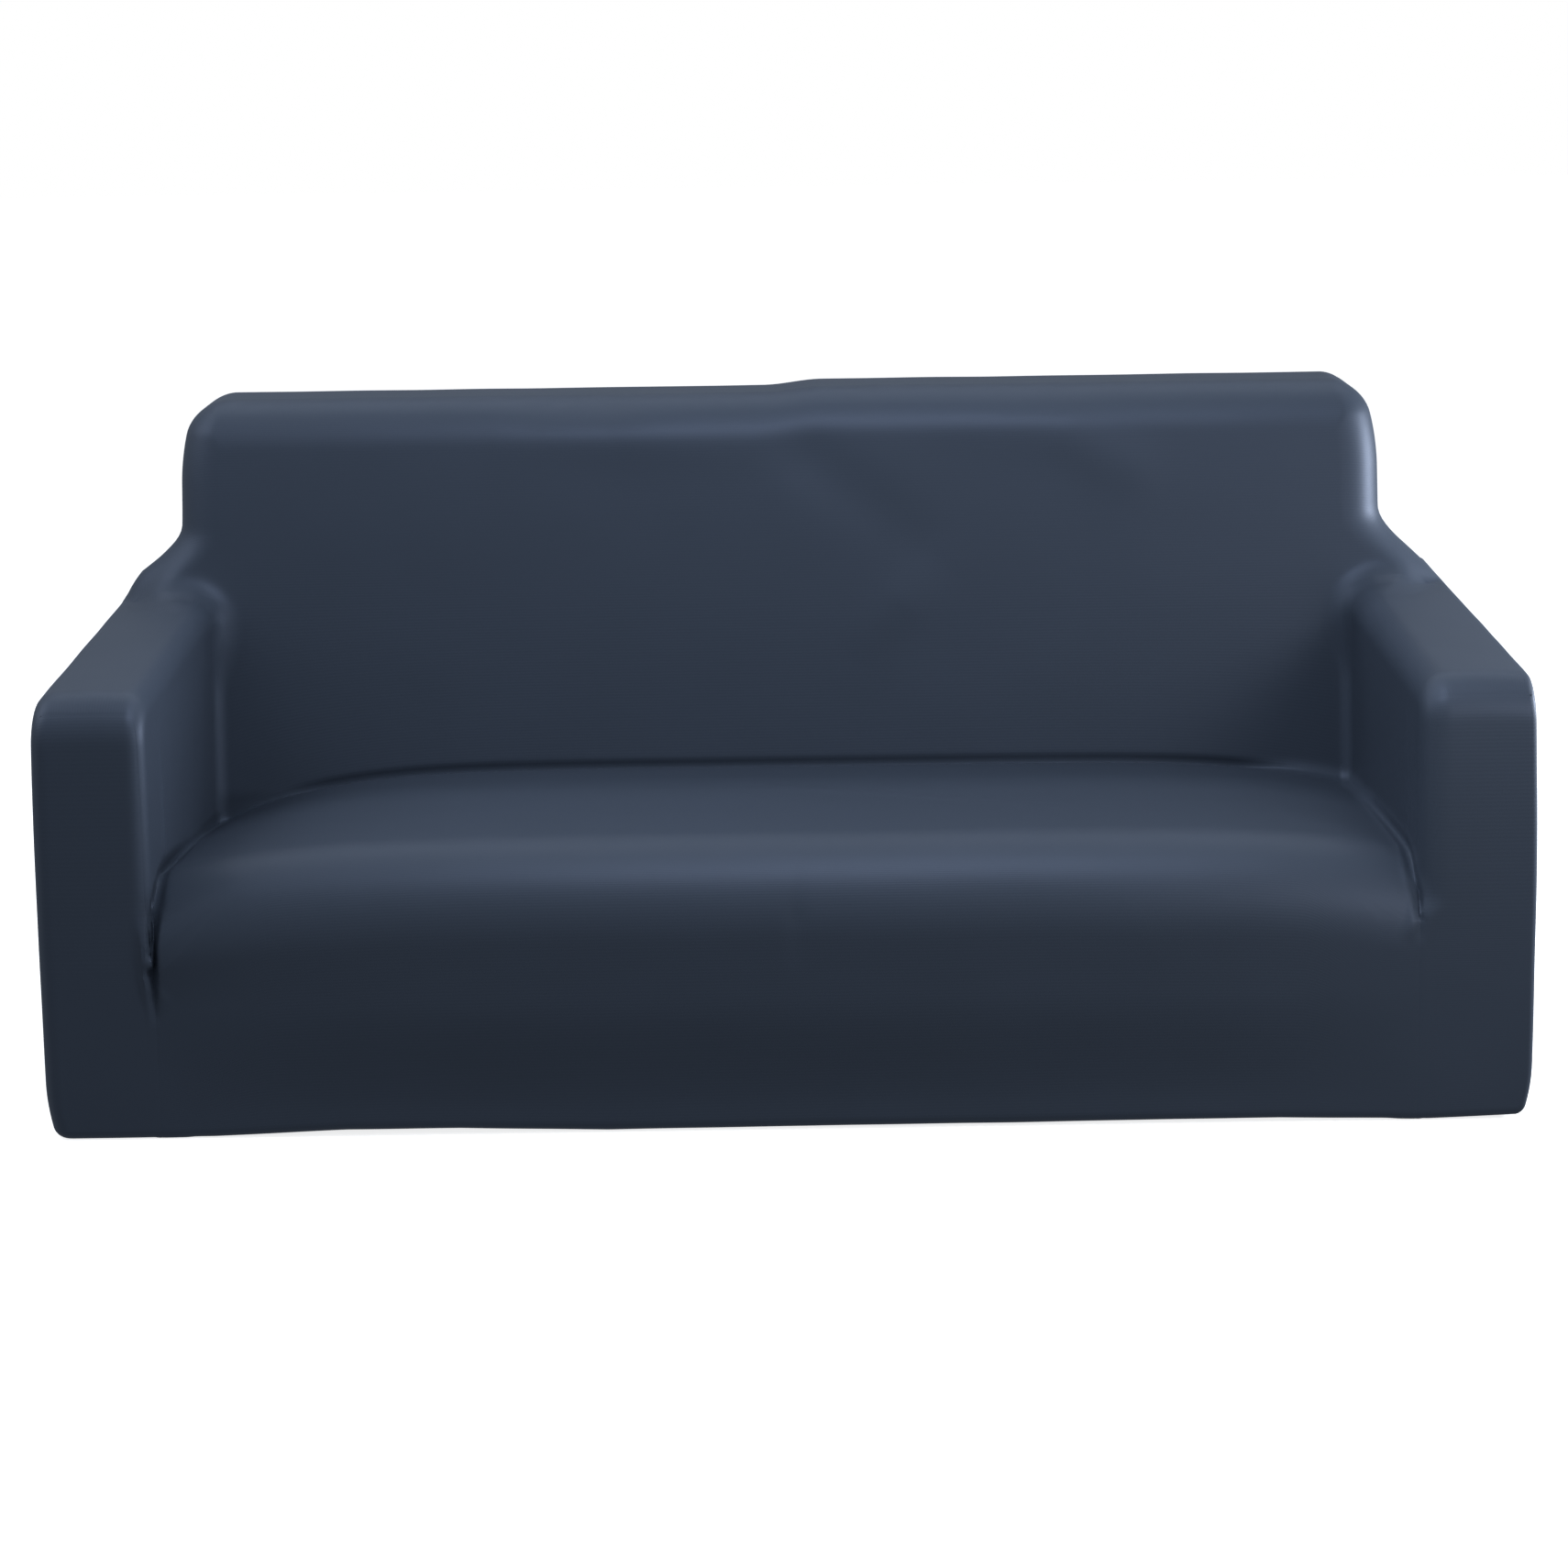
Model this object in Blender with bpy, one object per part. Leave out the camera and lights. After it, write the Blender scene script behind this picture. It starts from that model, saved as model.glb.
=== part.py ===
"""A fitted stretch slipcover for a two-seat sofa, as it sits on the sofa that it hides.

Metres, +Z up, +X to the right of someone who faces the sofa, the front faces -Y.
The origin lies under the middle of the cover, level with the underside of its hem.

The sofa itself isn't built. Its covered form is a distance function, made of two rounded arms, a
seat and a back that are joined with soft fillets, as tight cloth bridges the corners. The cloth is
one skin drawn onto that form: the boundary of a lattice of cells, pulled onto the surface, laid in
its folds, given a thickness and then cut along the seams into the panels that a maker sews.
"""
import math

import bmesh
import bpy
import numpy as np

# Overall sizes
HALF_WIDTH = 0.906  # middle to the outside of an arm
ARM_INNER = 0.765  # middle to the inside of an arm
BACK_HALF = 0.812  # middle to the side of the back, above the arms
FRONT = -0.420  # front of the arms
REAR = 0.4365  # outside back
BACK_FOOT = 0.160  # inside back, where it meets the seat
BACK_LEAN = 0.080  # how far the inside back leans towards the rear, from seat to top
ARM_HEIGHT = 0.541  # top of an arm at its front
ARM_RISE = 0.026  # how much higher the arm is at the back
ARM_CROWN = 0.004  # how much higher the middle of an arm is than its edges
SEAT_HEIGHT = 0.354  # crown of the seat at its front
SEAT_FALL = 0.019  # how much lower the seat is at the inside back
SEAT_SIDE_DROP = 0.034  # how much lower the seat is along the arms
SEAT_SIDE_SAG = (0.040, 0.004)  # and how much more at the back of each side
SEAT_BULGE = 0.015  # how far the seat front stands out before the arms
BACK_HEIGHT = 0.822  # top of the back, left half
BACK_STEP = 0.007  # the right half of the back top is this much higher
BACK_STEP_FROM, BACK_STEP_TO = -0.02, 0.06  # and rises between these, along the width

# Roundings of the covered form
SEAT_ROLL = 0.110
ARM_FRONT_ROLL = 0.045
BACK_TOP_ROLL = 0.060
BACK_REAR_ROLL = 0.035
BACK_CORNER = 0.044
BACK_NARROWING = 0.020  # the back draws in towards its top corners by this much
BACK_NARROWING_HEIGHT = 0.110
HEM_ROUND = 0.012
HEM_DRAW_IN = 0.010  # the elastic in the hem pulls the sides in by this much
HEM_DRAW_HEIGHT = 0.070
SIDE_BOW = 0.005  # the arm's outside bows in by this much at its top

# The two sides of a stretched cover never sit alike: (left, right)
ARM_OUTER_ROUND = (0.022, 0.010)
ARM_INNER_ROUND = (0.014, 0.034)
SEAT_ARM_FILLET = (0.010, 0.022)
SEAT_EDGE_BULGE = (0.60, 0.15)  # share of the seat's bulge that is left beside the arm
FLUSH_TOP = (0.185, 0.285)  # the cloth is stretched flat over arm and seat front up to here
SHOULDER_LOW = (0.556, 0.548)  # the side draws in from the arm to the back between these
SHOULDER_HIGH = (0.645, 0.655)

LEFT_TO_RIGHT = 0.12  # the change from left to right spreads over about this width

ARM_FOOT = 0.050  # below the flush height an arm's form runs on under the seat
SEAT_TONGUE = 0.010  # how far the seat's form reaches into the arms
ARM_BACK_FILLET = 0.040
ARM_CORNER_FILLET = 0.018
SEAT_BACK_FILLET = 0.008
FILLET_FADE = (0.830, 0.886)  # an arm's fillet to the back fades out towards its outside
SEAT_CORNER = (0.60, 0.72)  # the seat's fillet to the arms starts between these widths
BULGE_FROM, BULGE_TO = 0.03, 0.17  # heights between which the seat front comes forward

# The cloth
THICKNESS = 0.0022
SEAM_GAP = 0.0005
TUCK_DEPTH, TUCK_WIDTH = 0.014, 0.010  # cloth pushed down between seat, arms and back

# Lattice stations. The skin is denser where the form turns.
X_SEAT = (0.045, 0.17, 0.30, 0.43, 0.54, 0.63, 0.70, 0.742)
X_ARM = (ARM_INNER, 0.787, 0.832, 0.874, HALF_WIDTH)
Y_SEAT = (FRONT, -0.392, -0.355, -0.305, -0.21, -0.10, 0.01, 0.11, BACK_FOOT)
Y_BACK = (0.185, 0.235, 0.30, 0.365, 0.408, REAR)
Z_BASE = (0.0, 0.022, 0.08, 0.15, 0.21, 0.255, 0.295, 0.330)
Z_ARM = (0.365, 0.42, 0.475, 0.512, ARM_HEIGHT)
Z_BACK = (0.60, 0.66, 0.72, 0.765, 0.805, BACK_HEIGHT)

# How far the hem rises above its lowest level, along the width
HEM_WAVE = (
    # x, rise
    (-0.86, 0.000),
    (-0.70, 0.000),
    (-0.54, 0.006),
    (-0.40, 0.006),
    (-0.22, 0.001),
    (0.00, 0.002),
    (0.30, 0.003),
    (0.60, 0.004),
    (0.78, 0.000),
    (0.90, 0.004),
)

# Creases that pull across the cloth, from one end to the other: a trough is negative
FOLDS = (
    # name, start (x, y, z), end (x, y, z), width, height
    ("seat front crease", (0.018, -0.43, 0.31), (0.016, -0.43, 0.17), 0.030, -0.0025),
    ("left front pull", (-0.750, -0.42, 0.30), (-0.735, -0.42, 0.17), 0.020, -0.0050),
    ("left arm gather", (-0.865, 0.10, 0.56), (-0.850, 0.24, 0.60), 0.030, 0.0060),
    ("right seat pull", (0.450, -0.40, 0.30), (0.330, -0.42, 0.24), 0.060, 0.0030),
    ("back left dent", (-0.32, 0.26, 0.822), (-0.24, 0.26, 0.822), 0.045, -0.0030),
    ("back chevron upper", (0.03, 0.20, 0.76), (0.21, 0.19, 0.63), 0.060, 0.0030),
    ("back chevron lower", (0.21, 0.19, 0.63), (0.11, 0.17, 0.52), 0.060, 0.0030),
    ("right shoulder pull", (0.33, 0.22, 0.80), (0.50, 0.21, 0.74), 0.050, 0.0030),
)

PANEL_COLOUR = (0.030, 0.041, 0.060, 1.0)


def blend(pair, x):
    """The left and right values of a pair, with a soft change over the middle of the sofa."""
    share = 0.5 + 0.5 * np.tanh(x / LEFT_TO_RIGHT)
    return pair[0] + (pair[1] - pair[0]) * share


def ramp(low, high, value):
    """A soft step from 0 at low to 1 at high."""
    t = np.clip((value - low) / (high - low), 0.0, 1.0)
    return t * t * (3.0 - 2.0 * t)


def meet(a, b, radius):
    """The inside of both a and b, with a rounded edge."""
    corner = np.hypot(np.maximum(radius + a, 0.0), np.maximum(radius + b, 0.0))
    return np.minimum(-radius, np.maximum(a, b)) + corner


def join(a, b, radius):
    """Either a or b, with a fillet in the corner between them."""
    corner = np.hypot(np.maximum(radius - a, 0.0), np.maximum(radius - b, 0.0))
    return np.maximum(radius, np.minimum(a, b)) - corner


def seat_level(x, y):
    """Height of the seat, crowned in the middle and lower at its back and sides."""
    back = np.clip((y - FRONT) / (BACK_FOOT - FRONT), 0.0, 1.0)
    side = np.clip(np.abs(x) / ARM_INNER, 0.0, 1.0)
    drop = SEAT_SIDE_DROP + blend(SEAT_SIDE_SAG, x) * back
    return SEAT_HEIGHT - SEAT_FALL * back**2 - drop * side**6


def seat_bulge(x, z):
    """How far the seat front stands out before the arms' fronts."""
    side = np.clip(np.abs(x) / ARM_INNER, 0.0, 1.0)
    flush = blend(FLUSH_TOP, x)
    left_over = blend(SEAT_EDGE_BULGE, x) * ramp(flush - 0.02, flush + 0.08, z)
    return SEAT_BULGE * ramp(BULGE_FROM, BULGE_TO, z) * (1.0 - (1.0 - left_over) * side**6)


def inside_back_y(z):
    """Depth of the inside back, which leans towards the rear as it rises."""
    up = np.clip((z - SEAT_HEIGHT) / (BACK_HEIGHT - SEAT_HEIGHT), -0.1, 1.0)
    return BACK_FOOT + BACK_LEAN * up


def outer_half(z):
    """Half width of the sides, which the hem's elastic draws in at the bottom."""
    low = np.clip(1.0 - z / HEM_DRAW_HEIGHT, 0.0, 1.0)
    high = np.clip(z / ARM_HEIGHT - 0.35, 0.0, 0.65) / 0.65
    return HALF_WIDTH - HEM_DRAW_IN * low**2 - SIDE_BOW * high**2


def back_half(x, z):
    """Half width of the back, which spreads to the arms' outsides below the shoulder."""
    high = np.clip(1.0 - (BACK_HEIGHT - z) / BACK_NARROWING_HEIGHT, 0.0, 1.0)
    upper = BACK_HALF - BACK_NARROWING * high**2
    spread = 1.0 - ramp(blend(SHOULDER_LOW, x), blend(SHOULDER_HIGH, x), z)
    return upper + (outer_half(z) - upper) * spread


def inner_half(x, z):
    """Half the width between the arms, less under the seat, where the cloth runs flush."""
    flush = blend(FLUSH_TOP, x)
    return ARM_INNER - ARM_FOOT * (1.0 - ramp(flush - 0.03, flush + 0.03, z))


def sofa_distance(points):
    """Signed distance to the covered sofa, positive outside."""
    x, y, z = points.T
    ax = np.abs(x)
    depth = np.clip((y - FRONT) / (REAR - FRONT), 0.0, 1.0)
    front = FRONT - y

    arm_middle = (ARM_INNER + HALF_WIDTH) / 2
    crown = ARM_CROWN * (1.0 - ((ax - arm_middle) / (HALF_WIDTH - arm_middle)) ** 2)
    arm = meet(z - ARM_HEIGHT - ARM_RISE * depth - crown, front, ARM_FRONT_ROLL)
    arm = meet(arm, inner_half(x, z) - ax, blend(ARM_INNER_ROUND, x))
    arm = meet(arm, ax - outer_half(z), blend(ARM_OUTER_ROUND, x))

    seat = meet(z - seat_level(x, y), front - seat_bulge(x, z), SEAT_ROLL)
    seat = np.maximum(seat, ax - ARM_INNER - SEAT_TONGUE)

    back_top = z - BACK_HEIGHT - BACK_STEP * ramp(BACK_STEP_FROM, BACK_STEP_TO, x)
    back = meet(back_top, ax - back_half(x, z), BACK_CORNER)
    back = meet(back, inside_back_y(z) - y, BACK_TOP_ROLL)

    # A fillet swells where two faces lie flush, so it fades out there.
    upper = ramp(ARM_HEIGHT - 0.10, ARM_HEIGHT - 0.02, z)
    fillet = ARM_CORNER_FILLET + (ARM_BACK_FILLET - ARM_CORNER_FILLET) * upper
    form = join(arm, back, fillet * (1.0 - ramp(*FILLET_FADE, ax)))
    flush = blend(FLUSH_TOP, x)
    fillet = SEAT_BACK_FILLET + blend(SEAT_ARM_FILLET, x) * ramp(*SEAT_CORNER, ax)
    form = join(form, seat, fillet * ramp(flush - 0.05, flush + 0.05, z))
    form = meet(form, y - REAR, BACK_REAR_ROLL)
    return meet(form, -z, HEM_ROUND)


def slope(field, points, step=0.0004):
    """Gradient of a distance field at each point."""
    columns = []
    for axis in np.eye(3) * step:
        columns.append((field(points + axis) - field(points - axis)) / (2.0 * step))
    return np.stack(columns, axis=1)


def draw_onto(field, points, rounds=14):
    """Moves each point along the field's slope until it lies on the surface."""
    for _ in range(rounds):
        gradient = slope(field, points)
        size = np.maximum((gradient**2).sum(axis=1), 0.25)
        points = points - gradient * (field(points) / size)[:, None]
    return points


def stations():
    """The lattice's lines along X, Y and Z."""
    right = X_SEAT + X_ARM
    xs = tuple(-x for x in reversed(right)) + (0.0,) + right
    return xs, Y_SEAT + Y_BACK, Z_BASE + Z_ARM + Z_BACK


def is_filled(x, y, z):
    """Whether a lattice cell, given by its centre, lies inside the covered sofa."""
    if abs(x) > HALF_WIDTH or not FRONT < y < REAR or not 0.0 < z < BACK_HEIGHT:
        return False
    return z < Z_BASE[-1] or y > BACK_FOOT or (abs(x) > ARM_INNER and z < ARM_HEIGHT)


def panel_of(normal, x, y, z):
    """Name of the panel that a face of the skin belongs to."""
    side = "left" if x < 0.0 else "right"
    nx, ny, nz = normal
    if nz < 0:  # the hem, turned under
        if y < Y_SEAT[1]:
            return "seat_and_front" if abs(x) < ARM_INNER else "arm_front_" + side
        return "outside_back" if y > Y_BACK[-2] else "arm_" + side
    if ny > 0:
        return "outside_back"
    if ny < 0 and y > FRONT:
        return "inside_back"
    if ny < 0:
        return "seat_and_front" if abs(x) < ARM_INNER else "arm_front_" + side
    if z > ARM_HEIGHT:
        return "inside_back"
    return "seat_and_front" if nz and abs(x) < ARM_INNER else "arm_" + side


def lattice_faces(xs, ys, zs):
    """Faces between filled and empty cells, as (corner indices, panel name), facing outwards."""
    lines = (xs, ys, zs)
    cells = [range(len(line) - 1) for line in lines]
    faces = []
    for i in cells[0]:
        for j in cells[1]:
            for k in cells[2]:
                cell = (i, j, k)
                low = [lines[a][cell[a]] for a in range(3)]
                high = [lines[a][cell[a] + 1] for a in range(3)]
                middle = [(low[a] + high[a]) / 2 for a in range(3)]
                if not is_filled(*middle):
                    continue
                for axis in range(3):
                    for sign in (-1, 1):
                        spot = list(middle)
                        spot[axis] = low[axis] if sign < 0 else high[axis]
                        beyond = list(spot)
                        beyond[axis] += sign * 0.001
                        at_edge = i in (0, len(xs) - 2) or j in (0, len(ys) - 2)
                        open_base = axis == 2 and sign < 0 and not at_edge
                        if is_filled(*beyond) or open_base:
                            continue
                        normal = [0, 0, 0]
                        normal[axis] = sign
                        faces.append((cell_face(cell, axis, sign), panel_of(normal, *spot)))
    return faces


def cell_face(cell, axis, sign):
    """The four lattice corners of one side of a cell, counter-clockwise seen from outside."""
    u, v = (axis + 1) % 3, (axis + 2) % 3
    corners = []
    for du, dv in ((0, 0), (1, 0), (1, 1), (0, 1)):
        corner = list(cell)
        corner[axis] += sign > 0
        corner[u] += du
        corner[v] += dv
        corners.append(tuple(corner))
    return corners if sign > 0 else corners[::-1]


def start_point(x, y, z):
    """A lattice corner, moved near the form: the back is narrower and leans."""
    if z > ARM_HEIGHT and abs(x) > ARM_INNER:
        share = (abs(x) - ARM_INNER) / (HALF_WIDTH - ARM_INNER)
        x = math.copysign(ARM_INNER + share * (float(back_half(x, z)) - ARM_INNER), x)
    if y >= BACK_FOOT:
        share = (REAR - y) / (REAR - BACK_FOOT)
        y += (float(inside_back_y(z)) - BACK_FOOT) * share
    return x, y, z


def crevice_distance(points):
    """Distance to the lines where the seat meets the arms and the inside back."""
    x, y, z = points.T
    above = z - seat_level(x, y)
    beside = ARM_INNER - np.abs(x)
    behind = inside_back_y(z) - y
    ahead = np.maximum(FRONT + 0.02 - y, 0.0)
    side = np.sqrt(above**2 + beside**2 + ahead**2)
    back = np.sqrt(above**2 + behind**2 + np.maximum(-beside, 0.0) ** 2)
    return np.minimum(side, back)


def fold_height(points):
    """How far the creases and tucks move the cloth along its normal."""
    height = -TUCK_DEPTH * np.exp(-((crevice_distance(points) / TUCK_WIDTH) ** 2))
    for _name, start, end, width, rise in FOLDS:
        start, end = np.array(start), np.array(end)
        along = end - start
        share = np.clip((points - start) @ along / (along @ along), 0.0, 1.0)
        gap = np.linalg.norm(points - start - share[:, None] * along, axis=1)
        height += rise * np.exp(-((gap / width) ** 2))
    return height


def hem_wave(x):
    """The hem's slight waves from side to side."""
    places, rises = zip(*HEM_WAVE)
    return np.interp(x, places, rises)


def build_skin():
    """The whole cover as one open surface: its mesh and the panel of each face."""
    lines = stations()
    faces = lattice_faces(*lines)
    corners = sorted({corner for face, _panel in faces for corner in face})
    index = {corner: number for number, corner in enumerate(corners)}
    starts = [start_point(*(lines[a][corner[a]] for a in range(3))) for corner in corners]
    points = draw_onto(sofa_distance, np.array(starts))
    low = 1.0 - ramp(0.0, HEM_DRAW_HEIGHT, points[:, 2])
    points[:, 2] += low * hem_wave(points[:, 0])

    skin = bmesh.new()
    verts = [skin.verts.new(point) for point in points]
    panels = []
    for face, panel in faces:
        skin.faces.new([verts[index[corner]] for corner in face])
        panels.append(panel)
    skin.normal_update()
    lift = fold_height(points)
    for vert, rise in zip(verts, lift):
        vert.co += vert.normal * float(rise)
    skin.normal_update()
    skin.verts.index_update()
    skin.faces.ensure_lookup_table()
    return skin, panels


def inner_offsets(skin):
    """For each vertex, the step from the outer to the inner surface of the cloth."""
    offsets = {}
    for vert in skin.verts:
        facing = [max(0.5, vert.normal.dot(face.normal)) for face in vert.link_faces]
        offsets[vert.index] = -vert.normal * THICKNESS / (sum(facing) / len(facing))
    return offsets


def seam_insets(faces):
    """For each vertex on a panel's edge, the step that draws it half a seam gap inwards."""
    inward = {}
    members = set(faces)
    for face in faces:
        for loop in face.loops:
            if sum(other in members for other in loop.edge.link_faces) > 1:
                continue
            along = (loop.link_loop_next.vert.co - loop.vert.co).normalized()
            step = face.normal.cross(along)
            for vert in loop.edge.verts:
                inward.setdefault(vert.index, []).append(step)
    insets = {}
    for number, steps in inward.items():
        total = sum(steps[1:], steps[0].copy())
        mitre = max(0.35, total.normalized().dot(steps[0]))
        insets[number] = total.normalized() * (SEAM_GAP / 2) / mitre
    return insets


def cloth_material(name):
    """Matt stretch knit."""
    material = bpy.data.materials.new(name)
    material.use_nodes = True
    shader = material.node_tree.nodes["Principled BSDF"]
    shader.inputs["Base Color"].default_value = PANEL_COLOUR
    shader.inputs["Roughness"].default_value = 0.85
    shader.inputs["Metallic"].default_value = 0.0
    return material


def build_panel(name, faces, offsets):
    """One sewn panel: its outer face, its inner face and the cut edge between them."""
    insets = seam_insets(faces)
    panel = bmesh.new()
    outer, inner = {}, {}
    for face in faces:
        for vert in face.verts:
            if vert.index not in outer:
                point = vert.co + insets[vert.index] if vert.index in insets else vert.co
                outer[vert.index] = panel.verts.new(point)
                inner[vert.index] = panel.verts.new(point + offsets[vert.index])
    members = set(faces)
    for face in faces:
        ring = [vert.index for vert in face.verts]
        panel.faces.new([outer[number] for number in ring])
        panel.faces.new([inner[number] for number in reversed(ring)])
        for loop in face.loops:
            if sum(other in members for other in loop.edge.link_faces) == 1:
                a, b = loop.vert.index, loop.link_loop_next.vert.index
                panel.faces.new([outer[b], outer[a], inner[a], inner[b]])
    bmesh.ops.triangulate(panel, faces=panel.faces[:])
    mesh = bpy.data.meshes.new(name)
    panel.to_mesh(mesh)
    panel.free()
    mesh.shade_smooth()
    mesh.set_sharp_from_angle(angle=math.radians(40))
    mesh.materials.append(cloth_material(name + "_knit"))
    bpy.context.collection.objects.link(bpy.data.objects.new(name, mesh))


def main():
    for thing in list(bpy.data.objects):
        bpy.data.objects.remove(thing, do_unlink=True)
    skin, panels = build_skin()
    offsets = inner_offsets(skin)
    for name in sorted(set(panels)):
        build_panel(name, [face for face in skin.faces if panels[face.index] == name], offsets)
    skin.free()


main()
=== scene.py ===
# %% [markdown]
# # A stretch slipcover for a two-seat sofa
#
# The real object is a ready-made cover of fine jersey knit. It is sewn from seven panels, pulled over a
# sofa with arms, tucked in round the seat, and held by an elastic that runs inside its hem.
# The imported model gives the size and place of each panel, so it is loaded first as a fixed frame.

# %% Load the frame
import math

import bpy
import numpy as np
from mathutils import Matrix, Vector, kdtree, noise


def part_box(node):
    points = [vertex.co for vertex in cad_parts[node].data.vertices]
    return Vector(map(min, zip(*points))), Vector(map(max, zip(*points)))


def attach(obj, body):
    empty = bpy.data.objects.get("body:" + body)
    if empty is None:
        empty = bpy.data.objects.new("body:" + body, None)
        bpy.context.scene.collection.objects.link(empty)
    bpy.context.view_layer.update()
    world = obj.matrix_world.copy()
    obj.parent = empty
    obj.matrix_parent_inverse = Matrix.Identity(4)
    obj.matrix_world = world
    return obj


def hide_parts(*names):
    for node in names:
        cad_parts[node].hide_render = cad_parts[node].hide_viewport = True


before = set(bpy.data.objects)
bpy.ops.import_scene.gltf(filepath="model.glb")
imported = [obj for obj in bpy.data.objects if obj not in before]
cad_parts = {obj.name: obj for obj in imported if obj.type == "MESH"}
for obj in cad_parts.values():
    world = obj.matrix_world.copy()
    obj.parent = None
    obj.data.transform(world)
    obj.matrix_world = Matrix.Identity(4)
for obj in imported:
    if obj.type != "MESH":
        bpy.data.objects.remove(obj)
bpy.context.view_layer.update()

print("frame:", sorted(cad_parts))

# %% [markdown]
# ## Helpers for colours and material nodes
#
# Colours are given as sRGB hex values, as in a paint program, and a shader wants linear light.
# One function does that change, and one adds a node with its settings and links.


# %% Colour and node helpers
def linear(hex_colour):
    """An sRGB hex colour as linear red, green, blue and an alpha of 1."""
    parts = [int(hex_colour[i : i + 2], 16) / 255 for i in (1, 3, 5)]
    light = [p / 12.92 if p <= 0.04045 else ((p + 0.055) / 1.055) ** 2.4 for p in parts]
    return (*light, 1.0)


def add_node(tree, kind, inputs=None, **settings):
    """Adds a node. settings are its own properties, inputs are values or sockets to link from."""
    node = tree.nodes.new(kind)
    for key, value in settings.items():
        setattr(node, key, value)
    for key, value in (inputs or {}).items():
        if isinstance(value, bpy.types.NodeSocket):
            tree.links.new(value, node.inputs[key])
        else:
            node.inputs[key].default_value = value
    return node


print("mid grey in linear light:", [round(c, 4) for c in linear("#808080")])

# %% [markdown]
# ## The sizes of the covered sofa
#
# The outer sizes come from the frame. The others are the driving sizes of the sofa under the cloth, in
# metres: +Z is up, the front faces -Y, and x is 0 in the middle. A pair holds the values for the left and
# the right side, because the two sides of a stretched cover never sit alike. The few pairs that are a
# range instead, from one value to another, stand together at the end.

# %% Main sizes
HALF_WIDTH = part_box("arm_right")[1][0]  # middle to the outside of an arm
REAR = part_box("outside_back")[1][1]
ARM_INNER = 0.765  # middle to the inner side of an arm
FRONT = -0.420
ARM_HEIGHT = 0.541  # at its front
ARM_RISE = 0.026  # how much higher the arm is at the rear
ARM_CROWN = 0.004
SIDE_BOW = 0.005  # how far the arm's outer side draws in at its top
SIDE_BOW_START = 0.35  # share of the arm's height where it begins to
SEAT_HEIGHT = 0.354
SEAT_FALL = 0.019  # how much lower the seat is at the inside back
SEAT_SIDE_DROP = 0.034  # how much lower it is beside the arms
SEAT_SIDE_SAG = (0.040, 0.004)  # and how much more so in its rear corners
SEAT_BULGE = 0.015  # how far the seat's front stands out
SEAT_EDGE_BULGE = (0.60, 0.15)  # the share of this bulge that reaches the arms
SEAT_SIDE_POWER = 6  # a high power keeps the changes towards the arms close to the arms
BACK_FOOT = 0.160  # where the inside back meets the seat
BACK_LEAN = 0.080  # how far the inside back leans over its height
BACK_TOP_LEAN = 0.014  # how much more it leans near its top
LEAN_BELOW_SEAT = 0.1  # share of the back's height for which the lean goes on below the seat
BACK_HEIGHT = 0.822
BACK_STEP = 0.007  # how much higher the top edge is right of the middle
BACK_HALF = 0.812  # half width of the back over the arms
BACK_NARROWING = 0.020  # how much narrower it is at its top
BACK_NARROWING_HEIGHT = 0.110
HEM_DRAW_IN = 0.010  # how far the elastic draws the sides in
HEM_DRAW_HEIGHT = 0.070
print("half width", round(HALF_WIDTH, 4), "rear", round(REAR, 4))

# %% Roundings
SEAT_ROLL = 0.110
ARM_FRONT_ROLL = (0.055, 0.050)
ARM_FRONT_LEAN = (0.009, 0.015)  # how far the arm's front leans back at its top
LEAN_FADE = 0.100  # height over which such a lean comes in
ARM_OUTER_ROUND = (0.022, 0.010)
ARM_INNER_ROUND = (0.024, 0.034)
BACK_TOP_ROLL = 0.060
BACK_REAR_ROLL = 0.035
BACK_CORNER = 0.044
HEM_ROUND = 0.012
SEAT_ARM_FILLET = (0.008, 0.014)
SEAT_BACK_FILLET = 0.008
ARM_BACK_FILLET = 0.040  # at the arm's top
ARM_CORNER_FILLET = 0.018  # in the corner below it
print("smallest rounding", min(SEAT_BACK_FILLET, *ARM_OUTER_ROUND, *SEAT_ARM_FILLET), "m")

# %% Where one shape changes into another
LEFT_TO_RIGHT = 0.12  # how softly a pair changes over the middle
FLUSH_TOP = (0.185, 0.252)  # height up to which the seat's front and the arm's are one flat face
SHOULDER_LOW = (0.538, 0.541)  # from here the back's side draws in from the arm's outer side
SHOULDER_HIGH = (0.658, 0.661)  # and here it has its own width
ARM_FOOT = 0.050  # how far the arm reaches under the seat, below the flush height
SEAT_TONGUE = 0.010  # how far the seat reaches into the arm

# Ranges across the sofa, within which something changes
STEP_ACROSS = (-0.02, 0.06)  # the top edge of the back steps up
SEAT_CORNER = (0.60, 0.72)  # the fillet round the seat widens towards the arms
FILLET_FADE = (0.830, 0.886)  # the fillet of arm and back fades out

# Ranges of height: from the floor, from the arm's top, and three from the flush height
BULGE_UP = (0.03, 0.17)  # the seat's front comes out
FILLET_UP = (-0.10, -0.02)  # the fillet of arm and back widens
EDGE_BULGE_UP = (-0.02, 0.08)  # the bulge begins to reach the arms
ARM_FOOT_UP = (-0.03, 0.03)  # the arm's foot ends
SEAT_FILLET_UP = (-0.05, 0.05)  # the fillet of seat and arm begins
print("flush up to", FLUSH_TOP, "m")

# %% [markdown]
# ## The form under the cloth
#
# Tight cloth doesn't follow a sofa's corners: it spans them in soft curves. A signed distance makes
# that easy. Each part of the sofa is a set of half-spaces, two parts meet in a rounded edge or join
# with a fillet, and one number says how far a point is from the finished surface. Modelling the same
# form with boxes and bevels would leave a hard line at each place where cushion, arm and back meet.


# %% Soft changes and joins
def blend(pair, x):
    """The left and right values of a pair, with a soft change over the middle of the sofa."""
    return pair[0] + (pair[1] - pair[0]) * (0.5 + 0.5 * np.tanh(x / LEFT_TO_RIGHT))


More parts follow.
